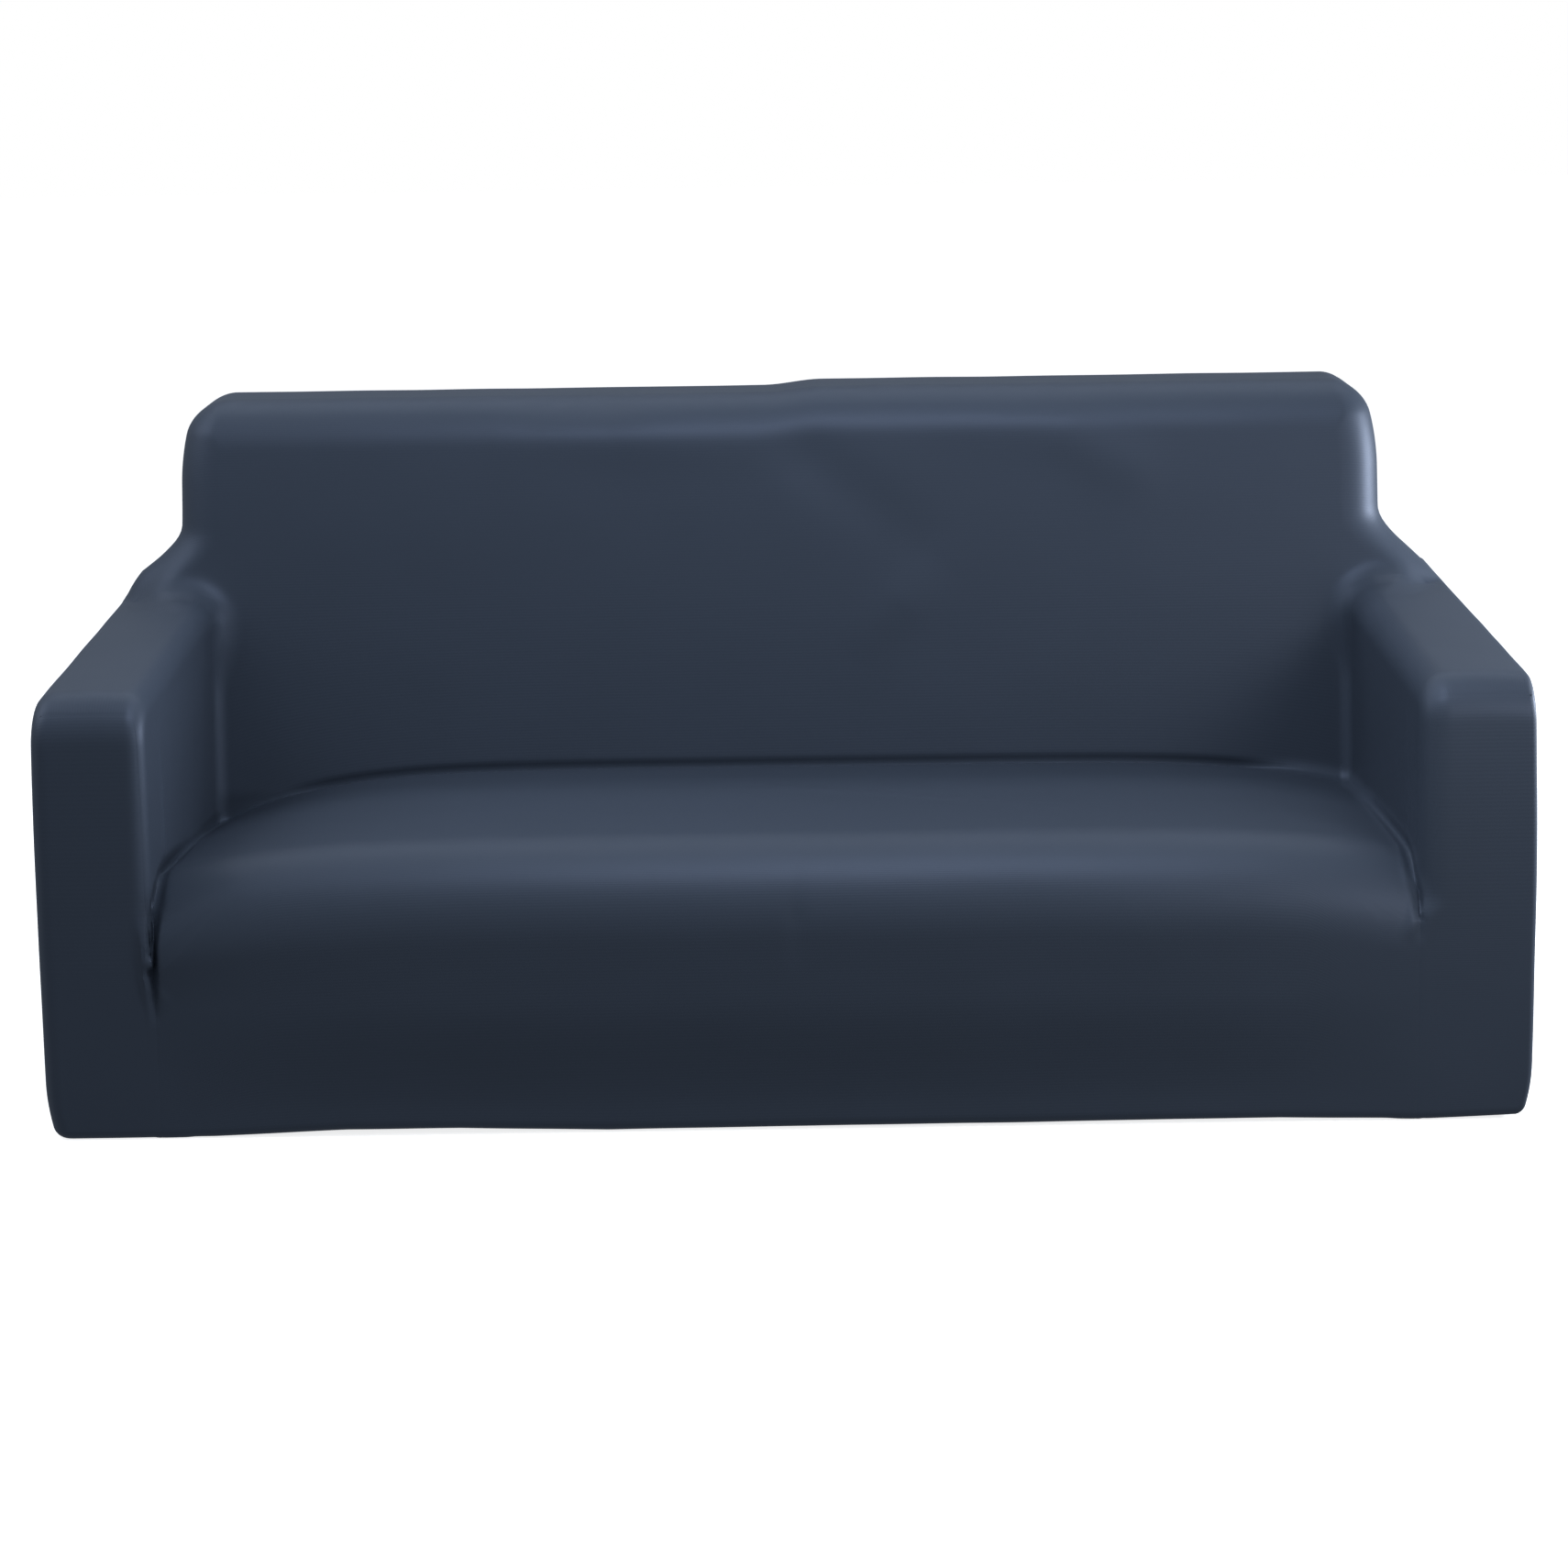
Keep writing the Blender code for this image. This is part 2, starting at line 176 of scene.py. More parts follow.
def ramp(low, high, value):
    """A soft step from 0 at low to 1 at high."""
    t = np.clip((value - low) / (high - low), 0.0, 1.0)
    return t * t * (3.0 - 2.0 * t)


def meet(a, b, radius):
    """The inside of both a and b, with a rounded edge."""
    corner = np.hypot(np.maximum(radius + a, 0.0), np.maximum(radius + b, 0.0))
    return np.minimum(-radius, np.maximum(a, b)) + corner


def join(a, b, radius):
    """Either a or b, with a fillet in the corner between them."""
    corner = np.hypot(np.maximum(radius - a, 0.0), np.maximum(radius - b, 0.0))
    return np.maximum(radius, np.minimum(a, b)) - corner


print("halfway up a soft step:", ramp(0.0, 2.0, 1.0))


# %% Heights and widths
def above_flush(x, z, rise):
    """A soft step round the height up to which the seat's front and the arm's are flush."""
    flush = blend(FLUSH_TOP, x)
    return ramp(flush + rise[0], flush + rise[1], z)


def seat_level(x, y):
    """Height of the seat, crowned in the middle and lower at its back and sides."""
    back = np.clip((y - FRONT) / (BACK_FOOT - FRONT), 0.0, 1.0)
    side = np.clip(np.abs(x) / ARM_INNER, 0.0, 1.0)
    drop = SEAT_SIDE_DROP + blend(SEAT_SIDE_SAG, x) * back
    return SEAT_HEIGHT - SEAT_FALL * back**2 - drop * side**SEAT_SIDE_POWER


def seat_bulge(x, z):
    """How far the seat front stands out before the arms' fronts."""
    side = np.clip(np.abs(x) / ARM_INNER, 0.0, 1.0)
    left_over = blend(SEAT_EDGE_BULGE, x) * above_flush(x, z, EDGE_BULGE_UP)
    share = 1.0 - (1.0 - left_over) * side**SEAT_SIDE_POWER
    return SEAT_BULGE * ramp(*BULGE_UP, z) * share


def inside_back_y(z):
    """Depth of the inside back, which leans towards the rear as it rises."""
    up = np.clip((z - SEAT_HEIGHT) / (BACK_HEIGHT - SEAT_HEIGHT), -LEAN_BELOW_SEAT, 1.0)
    lean = BACK_TOP_LEAN * np.exp(-np.maximum(BACK_HEIGHT - z, 0.0) / LEAN_FADE)
    return BACK_FOOT + BACK_LEAN * up + lean


def outer_half(z):
    """Half width of the sides, which the hem's elastic draws in at the bottom."""
    low = np.clip(1.0 - z / HEM_DRAW_HEIGHT, 0.0, 1.0)
    bow_share = 1.0 - SIDE_BOW_START
    high = np.clip(z / ARM_HEIGHT - SIDE_BOW_START, 0.0, bow_share) / bow_share
    return HALF_WIDTH - HEM_DRAW_IN * low**2 - SIDE_BOW * high**2


def back_half(x, z):
    """Half width of the back, which spreads to the arms' outsides below the shoulder."""
    high = np.clip(1.0 - (BACK_HEIGHT - z) / BACK_NARROWING_HEIGHT, 0.0, 1.0)
    upper = BACK_HALF - BACK_NARROWING * high**2
    spread = 1.0 - ramp(blend(SHOULDER_LOW, x), blend(SHOULDER_HIGH, x), z)
    return upper + (outer_half(z) - upper) * spread


def inner_half(x, z):
    """Half the width between the arms, less under the seat, where the cloth runs flush."""
    return ARM_INNER - ARM_FOOT * (1.0 - above_flush(x, z, ARM_FOOT_UP))


print("the seat is", round(float(seat_level(0.0, FRONT)), 3), "m high at its front")


# %% Signed distance of the covered sofa
def arm_distance(x, y, z):
    """One rounded arm on each side."""
    ax = np.abs(x)
    depth = np.clip((y - FRONT) / (REAR - FRONT), 0.0, 1.0)
    arm_middle = (ARM_INNER + HALF_WIDTH) / 2
    crown = ARM_CROWN * (1.0 - ((ax - arm_middle) / (HALF_WIDTH - arm_middle)) ** 2)
    lean = blend(ARM_FRONT_LEAN, x) * np.exp(-np.maximum(ARM_HEIGHT - z, 0.0) / LEAN_FADE)
    arm = meet(z - ARM_HEIGHT - ARM_RISE * depth - crown, FRONT + lean - y, blend(ARM_FRONT_ROLL, x))
    arm = meet(arm, inner_half(x, z) - ax, blend(ARM_INNER_ROUND, x))
    return meet(arm, ax - outer_half(z), blend(ARM_OUTER_ROUND, x))


def back_distance(x, y, z):
    """The back, with its softly stepped top edge."""
    top = z - BACK_HEIGHT - BACK_STEP * ramp(*STEP_ACROSS, x)
    back = meet(top, np.abs(x) - back_half(x, z), BACK_CORNER)
    return meet(back, inside_back_y(z) - y, BACK_TOP_ROLL)


def seat_distance(x, y, z):
    """The seat with its rolled front."""
    seat = meet(z - seat_level(x, y), FRONT - y - seat_bulge(x, z), SEAT_ROLL)
    return np.maximum(seat, np.abs(x) - ARM_INNER - SEAT_TONGUE)


def sofa_distance(points):
    """Signed distance to the covered sofa, positive outside."""
    x, y, z = points.T
    ax = np.abs(x)
    # A fillet swells where two faces lie flush, so it fades out there.
    upper = ramp(*FILLET_UP, z - ARM_HEIGHT)
    fillet = ARM_CORNER_FILLET + (ARM_BACK_FILLET - ARM_CORNER_FILLET) * upper
    fillet = fillet * (1.0 - ramp(*FILLET_FADE, ax))
    form = join(arm_distance(x, y, z), back_distance(x, y, z), fillet)
    fillet = SEAT_BACK_FILLET + blend(SEAT_ARM_FILLET, x) * ramp(*SEAT_CORNER, ax)
    form = join(form, seat_distance(x, y, z), fillet * above_flush(x, z, SEAT_FILLET_UP))
    form = meet(form, y - REAR, BACK_REAR_ROLL)
    return meet(form, -z, HEM_ROUND)


over_the_seat = np.array([[0.0, -0.2, 0.5]])
print("a place 50 cm up, over the seat, is", sofa_distance(over_the_seat).round(3), "m from the cloth")

# %% Moving points onto the surface
SLOPE_STEP = 0.0004  # distance to both sides over which a slope is measured
SLOPE_FLOOR = 0.25  # keeps a move short where the slope is shallow


def slope(points):
    """Slope of the distance at each point, in three directions."""
    columns = []
    for axis in np.eye(3) * SLOPE_STEP:
        change = sofa_distance(points + axis) - sofa_distance(points - axis)
        columns.append(change / (2.0 * SLOPE_STEP))
    return np.stack(columns, axis=1)


def draw_onto_form(points, rounds):
    """Moves each point along the slope, in a few rounds, until it lies on the surface."""
    for _ in range(rounds):
        gradient = slope(points)
        size = np.maximum((gradient**2).sum(axis=1), SLOPE_FLOOR)
        points = points - gradient * (sofa_distance(points) / size)[:, None]
    return points


landed = draw_onto_form(over_the_seat, rounds=5)
print("the cloth below it is", round(float(landed[0, 2]), 3), "m high")

# %% [markdown]
# ## A lattice that the cloth is drawn from
#
# The cloth could be a remeshed block or a draped plane, but their quads run across its creases and seams,
# which then look torn. A sheet needs even quads whose lines run along them. A lattice of boxes in the
# rough shape of the sofa gives that: the sides between a filled and an empty box are the skin. Its lines
# lie close together at the key lines, where the cloth turns or is sewn, and wider apart between them.

# %% Lattice lines
SEAT_LINE = 0.330  # lattice height of the seat
HEM_DEPTH = 0.030  # how far the hem is turned under
SEAM_BAND = 0.012  # the lines stay close together on both sides of the seams beside the arms
LINE_CLOSE, LINE_WIDE = 0.0022, 0.0085  # spacing at a key line and far from one
LINE_SPREAD = 0.030  # distance from a key line over which the spacing widens
WALK_PLACES = 600  # places between two key lines at which the spacing is worked out


def lattice_lines(keys):
    """Lines along one direction: close together at the key lines and wide apart between them."""
    lines = [keys[0]]
    for low, high in zip(keys, keys[1:]):
        walk = np.linspace(low, high, WALK_PLACES)
        nearest = np.minimum(walk - low, high - walk)
        step = LINE_WIDE - (LINE_WIDE - LINE_CLOSE) * np.exp(-nearest / LINE_SPREAD)
        count = np.concatenate([[0.0], np.cumsum(np.diff(walk) / step[1:])])
        steps = max(2, round(count[-1]))
        lines += list(np.interp(np.linspace(0, count[-1], steps + 1)[1:], count, walk))
    return np.array(lines)


hem_x, hem_front, hem_rear = HALF_WIDTH - HEM_DEPTH, FRONT + HEM_DEPTH, REAR - HEM_DEPTH
half_keys = (ARM_INNER - SEAM_BAND, ARM_INNER, ARM_INNER + SEAM_BAND, hem_x, HALF_WIDTH)
xs = lattice_lines((*(-k for k in reversed(half_keys)), 0.0, *half_keys))
ys = lattice_lines((FRONT, hem_front, BACK_FOOT, hem_rear, REAR))
zs = lattice_lines((0.0, SEAT_LINE, ARM_HEIGHT, BACK_HEIGHT))
print("lattice lines:", len(xs), len(ys), len(zs))


# %% Skin of the lattice
def filled_boxes():
    """Which boxes of the lattice lie inside the rough sofa."""
    x, y, z = np.meshgrid(*((line[1:] + line[:-1]) / 2 for line in (xs, ys, zs)), indexing="ij")
    return (z < SEAT_LINE) | (y > BACK_FOOT) | ((np.abs(x) > ARM_INNER) & (z < ARM_HEIGHT))


def box_sides(boxes, axis, sign):
    """The four lattice corners of one side of each box, counter-clockwise seen from outside."""
    u, v = (axis + 1) % 3, (axis + 2) % 3
    corners = []
    for du, dv in ((0, 0), (1, 0), (1, 1), (0, 1)):
        corner = boxes.copy()
        corner[:, axis] += sign > 0
        corner[:, u] += du
        corner[:, v] += dv
        corners.append(corner)
    return np.stack(corners[::sign], axis=1)


def lattice_skin():
    """Every face of the skin: its four lattice corners, and the axis and sign that it faces."""
    room = np.pad(filled_boxes(), 1)
    corners, facing = [], []
    for axis in range(3):
        for sign in (-1, 1):
            boxes = np.argwhere(room & ~np.roll(room, -sign, axis)) - 1
            corners.append(box_sides(boxes, axis, sign))
            facing.append(np.full((len(boxes), 2), (axis, sign)))
    return np.concatenate(corners), np.concatenate(facing)


corners, facing = lattice_skin()
places = np.stack([line[corners[..., a]] for a, line in enumerate((xs, ys, zs))], axis=-1)
middles = places.mean(axis=1)

# The underside is open but for the hem, which is turned under along its rim.
under = (facing[:, 0] == 2) & (facing[:, 1] < 0)
rim = (np.abs(middles[:, 0]) > hem_x) | (middles[:, 1] < hem_front) | (middles[:, 1] > hem_rear)
keep = ~under | rim
corners, facing, places, middles = corners[keep], facing[keep], places[keep], middles[keep]
on_hem = under[keep]
print("faces of the skin:", len(corners), "of them on the hem:", int(on_hem.sum()))

# %% [markdown]
# ## Which face belongs to which panel
#
# A maker cuts the cover in seven panels. They could be seven meshes from the start, but their edges would
# have to be fitted to each other. Here one skin is shared out: a face's direction and place name its
# panel, and two neighbours keep the same points along their seam. The panels have their nodes' names.


# %% Panels
def panel_names():
    """The name of the panel that each face belongs to."""
    x, y, z = middles.T
    axis, sign = facing.T
    side = np.where(x < 0, "left", "right")
    between = np.abs(x) < ARM_INNER
    arm, arm_front = np.char.add("arm_", side), np.char.add("arm_front_", side)
    front = np.where(between, "seat_and_front", arm_front)
    sides = np.where(z > ARM_HEIGHT, "inside_back", arm)
    tops = np.where(z > (ARM_HEIGHT + BACK_HEIGHT) / 2, "inside_back", arm)
    tops = np.where(between & (z < ARM_HEIGHT), "seat_and_front", tops)
    hems = np.where(y < hem_front, front, np.where(y > hem_rear, "outside_back", arm))
    ahead = np.where(y > hem_front, "inside_back", front)
    fronts = np.where(sign > 0, "outside_back", ahead)
    levels = np.where(sign > 0, tops, hems)
    return np.choose(axis, [sides, fronts, levels])


panels = panel_names()
PANELS = sorted(set(panels))
for name in PANELS:
    print(name, "has", int((panels == name).sum()), "faces")

# %% [markdown]
# ## Cloth coordinates
#
# The knit's fine ribs run along the courses of the cloth: level on the seat front, the back and the arm
# fronts, and from front to rear over the arms. Each face therefore gets flat cloth coordinates in metres,
# unrolled over the edges that its panel bends round. The material draws the knit on them.


# %% Unrolled coordinates
def unrolled():
    """Flat cloth coordinates of each face's four corners, in metres: u along the ribs, v across them."""
    x, y, z = np.moveaxis(places, -1, 0)
    level = ((facing[:, 0] == 2) & ~on_hem)[:, None]
    side = (facing[:, 0] == 0)[:, None]
    hem = on_hem[:, None]
    # The seat and its front with the arm fronts, where the hem goes on from the lower edge
    v_front = np.where(level, z + y - FRONT, np.where(hem, FRONT - y, z))
    # The arms, from the inner side over the top to the outer side
    inner = np.abs(middles[:, 0])[:, None] < (ARM_INNER + HALF_WIDTH) / 2
    v_arm = np.where(level, ARM_HEIGHT + ARM_INNER - np.abs(x), np.where(inner, z, -z))
    v_arm = np.where(hem, np.abs(x) - HALF_WIDTH, v_arm)
    # The inside back with the back's top and sides
    u_back = np.where(side, np.sign(x) * (HALF_WIDTH + y), x)
    v_back = np.where(level, z + y - BACK_FOOT, z)
    # The outside back
    v_rear = np.where(hem, y - REAR, z)
    cuts = (np.isin(panels, ("arm_left", "arm_right")), panels == "inside_back", panels == "outside_back")
    cut = np.select(cuts, (1, 2, 3), 0)[:, None]
    u = np.choose(cut, [x, y, u_back, x])
    v = np.choose(cut, [v_front, v_arm, v_back, v_rear])
    return np.stack([u, v], axis=-1)


cloth_uv = unrolled()
low_uv, high_uv = cloth_uv.min(axis=(0, 1)), cloth_uv.max(axis=(0, 1))
print("cloth coordinates from", low_uv.round(3), "to", high_uv.round(3))

# %% [markdown]
# ## Draw the skin onto the form
#
# Each lattice corner starts near its place on the sofa: the seat line follows the seat's crown and runs
# down the seat's roll beside the arms, the arms rise, the back leans and narrows. Then every point slides
# along the slope of the distance until it lies on the form. A Shrinkwrap modifier could do that with a
# mesh of the form, but it crowds the points at the corners. So the points slide in a few rounds here, and
# in each one their steps are evened out with those around, which keeps the quads as regular as knit.

# %% Points on the form
SEAT_LINE_ACROSS = (0.62, ARM_INNER)  # range across the sofa where the seat line leaves the seat's top
WRAPS, EVENINGS = 4, 12  # rounds of sliding, and how often each round's steps are evened out


def seat_line_height(x, y):
    """Height of the line between seat and arm: on the seat, and down its roll beside the arms."""
    reach = np.clip((y - FRONT) / SEAT_ROLL, 0.0, 1.0)
    roll_drop = SEAT_ROLL * (1.0 - np.sqrt(1.0 - (1.0 - reach) ** 2))
    line = seat_level(x, y) - roll_drop * ramp(*SEAT_LINE_ACROSS, np.abs(x))
    return np.maximum(line, blend(FLUSH_TOP, x))


def near_form(points):
    """Lattice corners moved near the form."""
    x, y, z = points.T.copy()
    seat_share = np.interp(z, (0.0, SEAT_LINE, ARM_HEIGHT), (0.0, 1.0, 0.0))
    arm_share = np.interp(z, (SEAT_LINE, ARM_HEIGHT, BACK_HEIGHT), (0.0, 1.0, 0.0))
    depth = np.clip((y - FRONT) / (REAR - FRONT), 0.0, 1.0)
    z = z + (seat_line_height(x, y) - SEAT_LINE) * seat_share + ARM_RISE * depth * arm_share
    over = np.clip((np.abs(x) - ARM_INNER) / (HALF_WIDTH - ARM_INNER), 0.0, 1.0)
    narrow = ARM_INNER + over * (back_half(x, z) - ARM_INNER)
    above = (z > ARM_HEIGHT) & (np.abs(x) > ARM_INNER)
    x = np.where(above, np.sign(x) * narrow, x)
    behind = np.interp(y, (FRONT, BACK_FOOT, REAR), (0.0, 1.0, 0.0))
    y = y + (inside_back_y(z) - BACK_FOOT) * behind
    return np.stack([x, y, z], axis=1)


lattice_points, face_points = np.unique(corners.reshape(-1, 3), axis=0, return_inverse=True)
face_points = face_points.reshape(-1, 4)
starts = np.stack([line[lattice_points[:, a]] for a, line in enumerate((xs, ys, zs))], axis=1)
uses = np.bincount(face_points.ravel(), minlength=len(starts))


def even_out(steps):
    """Each point's step, averaged with those of the faces around it."""
    on_faces = steps[face_points].mean(axis=1)
    total = np.zeros_like(steps)
    for corner in range(4):
        for axis in range(3):
            total[:, axis] += np.bincount(face_points[:, corner], on_faces[:, axis], len(steps))
    return total / uses[:, None]


skin = near_form(starts)
for _ in range(WRAPS):
    steps = draw_onto_form(skin, rounds=2) - skin
    for _ in range(EVENINGS):
        steps = even_out(steps)
    skin = skin + steps
skin = draw_onto_form(skin, rounds=5)
normals = slope(skin)
normals /= np.linalg.norm(normals, axis=1)[:, None]
print("skin points:", len(skin), "worst distance", float(np.abs(sofa_distance(skin)).max()))

# %% [markdown]
# ## Folds, tucks and seams
#
# What makes a cover look like cloth is what the tight knit does between the corners: it is pushed down
# deep where it is tucked in, it pulls in shallow creases towards the seams, and each seam sinks in a
# little. At the two ends of the seat's front the seam is pulled in deep, which makes the slit on the left
# and the crease on the right. A cloth simulation would fold it at random, and these folds have their
# places. So each fold and each of those grooves is a path from place to place with its width and height,
# and every point moves along the form's normal by the sum of them all.

# %% Folds of the cloth
# A fold is a soft ridge where its rise is above 0 and a trough where it is below.
FOLDS = {
    # name: points along the path, width, rise at each point
    "left arm ridge": (
        ((-0.765, -0.300, 0.500), (-0.765, -0.290, 0.410), (-0.764, -0.300, 0.335)),
        0.0090,
        (0.0, 0.0030, 0.0030),
    ),
    "right arm ripple": (
        ((0.765, -0.305, 0.500), (0.765, -0.300, 0.420), (0.765, -0.310, 0.335)),
        0.0100,
        (0.0, 0.0020, 0.0020),
    ),
    "right arm hollow": (
        ((0.766, -0.360, 0.490), (0.766, -0.365, 0.420), (0.766, -0.375, 0.330)),
        0.0120,
        (0.0, -0.0015, -0.0020),
    ),
    "seat front crease": (
        ((0.013, -0.380, 0.339), (0.012, -0.430, 0.270), (0.011, -0.435, 0.203)),
        0.0120,
        (0.0, -0.0024, 0.0),
    ),
    "seat crease": (
        ((-0.078, -0.003, 0.344), (0.130, -0.097, 0.350), (0.340, -0.191, 0.351)),
        0.0060,
        (0.0, 0.0016, 0.0008),
    ),
    "seat front pull": (
        ((0.540, -0.405, 0.300), (0.433, -0.434, 0.242), (0.330, -0.436, 0.200)),
        0.0550,
        (0.0, 0.0025, 0.0),
    ),
    "left shoulder web": (
        ((-0.855, 0.140, 0.570), (-0.820, 0.165, 0.575), (-0.775, 0.165, 0.560)),
        0.0420,
        (0.0, 0.0110, 0.0060),
    ),
    "left shoulder bulge": (
        ((-0.895, 0.245, 0.572), (-0.874, 0.245, 0.602), (-0.846, 0.245, 0.628)),
        0.0320,
        (0.0, 0.0100, 0.0060),
    ),
    "right shoulder web": (
        ((0.855, 0.145, 0.570), (0.820, 0.165, 0.575), (0.775, 0.170, 0.560)),
        0.0420,
        (0.0, 0.0100, 0.0060),
    ),
    "back left dent": (
        ((-0.320, 0.260, 0.822), (-0.240, 0.260, 0.822)),
        0.0450,
        (-0.0030, -0.0030),
    ),
    "back top crease": (
        ((-0.370, 0.245, 0.814), (-0.320, 0.262, 0.821), (-0.270, 0.300, 0.822)),
        0.0070,
        (0.0, -0.0030, 0.0),
    ),
    "back top pull": (
        ((-0.400, 0.235, 0.775), (-0.200, 0.232, 0.770), (0.030, 0.230, 0.755)),
        0.0350,
        (0.0, 0.0036, 0.0),
    ),
    "back chevron upper": (
        ((-0.020, 0.232, 0.780), (0.037, 0.226, 0.741), (0.218, 0.203, 0.602)),
        0.0400,
        (0.0, -0.0036, -0.0014),
    ),
    "back chevron lower": (
        ((0.218, 0.203, 0.602), (0.165, 0.193, 0.550), (0.090, 0.182, 0.480)),
        0.0350,
        (0.0014, 0.0036, 0.0),
    ),
    "right shoulder pull": (
        ((0.180, 0.232, 0.800), (0.389, 0.230, 0.768), (0.470, 0.225, 0.725)),
        0.0400,
        (0.0, 0.0045, 0.0030),
    ),
}
print("folds:", len(FOLDS))

# %% Grooves, tucks and the hem
# Along these paths the seat's seam is pulled in deep.
GROOVES = {
    # name: points along the path, depth at each point
    "left slit": (
        (
            (-0.758, -0.060, 0.335),
            (-0.756, -0.200, 0.318),
            (-0.763, -0.400, 0.290),
            (-0.767, -0.426, 0.215),
            (-0.763, -0.424, 0.145),
        ),
        (0.0040, 0.0110, 0.0140, 0.0140, 0.0),
    ),
    "right crease": (
        ((0.752, -0.080, 0.335), (0.757, -0.370, 0.315), (0.762, -0.415, 0.270), (0.763, -0.428, 0.225)),
        (0.0040, 0.0090, 0.0080, 0.0),
    ),
}
GROOVE_WIDTH = 0.0052  # measured from the seam
GROOVE_REACH = 0.032  # how far from its path a groove still pulls

TUCK_DEPTH, TUCK_WIDTH = 0.011, 0.0055
TUCK_FADE = (-0.370, -0.290)  # range of depth where the tucks begin, from the front
CREVICE_START = FRONT + 0.02  # ahead of here there is no corner of seat and arm to tuck into
SEAM_DEPTH, SEAM_WIDTH = 0.0002, 0.0030
RIPPLE = 0.0006  # height of the cloth's slight unevenness
RIPPLE_SIZE = 0.11

HEM_WAVE = (
    # x, rise of the hem over its lowest level
    (-0.86, 0.000),
    (-0.70, 0.000),
    (-0.54, 0.006),
    (-0.40, 0.006),
    (-0.22, 0.001),
    (0.00, 0.002),
    (0.30, 0.003),
    (0.60, 0.004),
    (0.78, 0.000),
    (0.90, 0.004),
)
print("grooves:", len(GROOVES), "deepest", max(max(depths) for _, depths in GROOVES.values()), "m")


# %% Distances to tucks and seams
def crevice_distance(points):
    """Distance to the lines where the seat meets the arms and the inside back."""
    x, y, z = points.T
    above = z - seat_level(x, y)
    beside = ARM_INNER - np.abs(x)
    behind = inside_back_y(z) - y
    ahead = np.maximum(CREVICE_START - y, 0.0)
    past = np.maximum(-behind, 0.0)
    side = np.sqrt(above**2 + beside**2 + ahead**2 + past**2)
    back = np.sqrt(above**2 + behind**2 + np.maximum(-beside, 0.0) ** 2)
    return np.minimum(side, back)


def seam_distance(points, panel=None):
    """Distance from each point to the nearest seam, or to the nearest seam of one panel."""
    owners = np.zeros((len(points), len(PANELS)), bool)
    for number, name in enumerate(PANELS):
        owners[face_points[panels == name].ravel(), number] = True
    sewn = owners.sum(axis=1) > 1
    if panel:
        sewn &= owners[:, PANELS.index(panel)]
    seams = np.flatnonzero(sewn)
    tree = kdtree.KDTree(len(seams))
    for number, point in enumerate(points[seams]):
        tree.insert(point, number)
    tree.balance()
    return np.array([tree.find(point)[2] for point in points])


beside_seam = seam_distance(skin)
beside_seat = seam_distance(skin, "seat_and_front")
print("farthest from a seam:", round(float(beside_seam.max()), 2), "m")


# %% Heights of folds, tucks and ripples
def along_path(points, path, values, width):
    """The path's values at the nearest place on it, fading out over the width."""
    path = np.array(path)
    nearest = np.full(len(points), np.inf)
    value = np.zeros(len(points))
    for start, end, low, high in zip(path, path[1:], values, values[1:]):
        along = end - start
        share = np.clip((points - start) @ along / (along @ along), 0.0, 1.0)
        gap = np.linalg.norm(points - start - share[:, None] * along, axis=1)
        value = np.where(gap < nearest, low + (high - low) * share, value)
        nearest = np.minimum(nearest, gap)
    return value * np.exp(-((nearest / width) ** 2))


def fold_height(points):
    """How far the creases and tucks move the cloth along its normal."""
    depth = TUCK_DEPTH * ramp(*TUCK_FADE, points[:, 1])
    height = -depth * np.exp(-((crevice_distance(points) / TUCK_WIDTH) ** 2))
    for path, width, rises in FOLDS.values():
        height += along_path(points, path, rises, width)
    return height


def ripple_height(points):
    """The slight unevenness of stretched cloth, the same each time."""
    heights = [noise.noise(Vector(point) / RIPPLE_SIZE) for point in points]
    return RIPPLE * np.array(heights)


lift = fold_height(skin) + ripple_height(skin)
print("highest fold", round(float(lift.max()) * 1000, 1), "mm")

# %% Move the points
lift -= SEAM_DEPTH * np.exp(-((beside_seam / SEAM_WIDTH) ** 2))
for path, depths in GROOVES.values():
    lift -= along_path(skin, path, depths, GROOVE_REACH) * np.exp(-((beside_seat / GROOVE_WIDTH) ** 2))
cloth = skin + normals * lift[:, None]
near_hem = 1.0 - ramp(0.0, HEM_DRAW_HEIGHT, skin[:, 2])
cloth[:, 2] += near_hem * np.interp(skin[:, 0], *zip(*HEM_WAVE))
print("deepest tuck", round(float(-lift.min()) * 1000, 1), "mm")

# %% [markdown]
# ## One sheet for each panel
#
# The real panels are sewn edge to edge. Seven separate sheets with a gap between them would let light
# through, and one single sheet couldn't stand for seven solids. So a panel takes its faces from the skin,
# shares the points of its seams with its neighbours, and gets the thickness of the knit towards the sofa
# from Solidify.

# %% Panel meshes
THICKNESS = 0.0020
SHARP_FROM = 40.0  # degrees: an edge that turns more than this is shaded as a hard one


def select_only(piece):
    """Makes a piece the one that the operators act on."""
    bpy.ops.object.select_all(action="DESELECT")
    piece.select_set(True)
    bpy.context.view_layer.objects.active = piece


def make_panel(name):
    """One panel as a sheet with its thickness, its cloth coordinates and smooth shading."""
    mine = panels == name
    used, own_points = np.unique(face_points[mine], return_inverse=True)
    mesh = bpy.data.meshes.new(name + "_cloth")
    mesh.from_pydata(cloth[used].tolist(), [], own_points.reshape(-1, 4).tolist())
    layer = mesh.uv_layers.new(name="cloth")
    layer.data.foreach_set("uv", cloth_uv[mine].ravel())
    piece = bpy.data.objects.new(name + "_cloth", mesh)
    bpy.context.collection.objects.link(piece)
    select_only(piece)
    wall = piece.modifiers.new("thickness", "SOLIDIFY")
    wall.thickness = THICKNESS
    wall.offset = -1.0
    bpy.ops.object.modifier_apply(modifier=wall.name)
    bpy.ops.object.shade_smooth_by_angle(angle=math.radians(SHARP_FROM))
    return piece


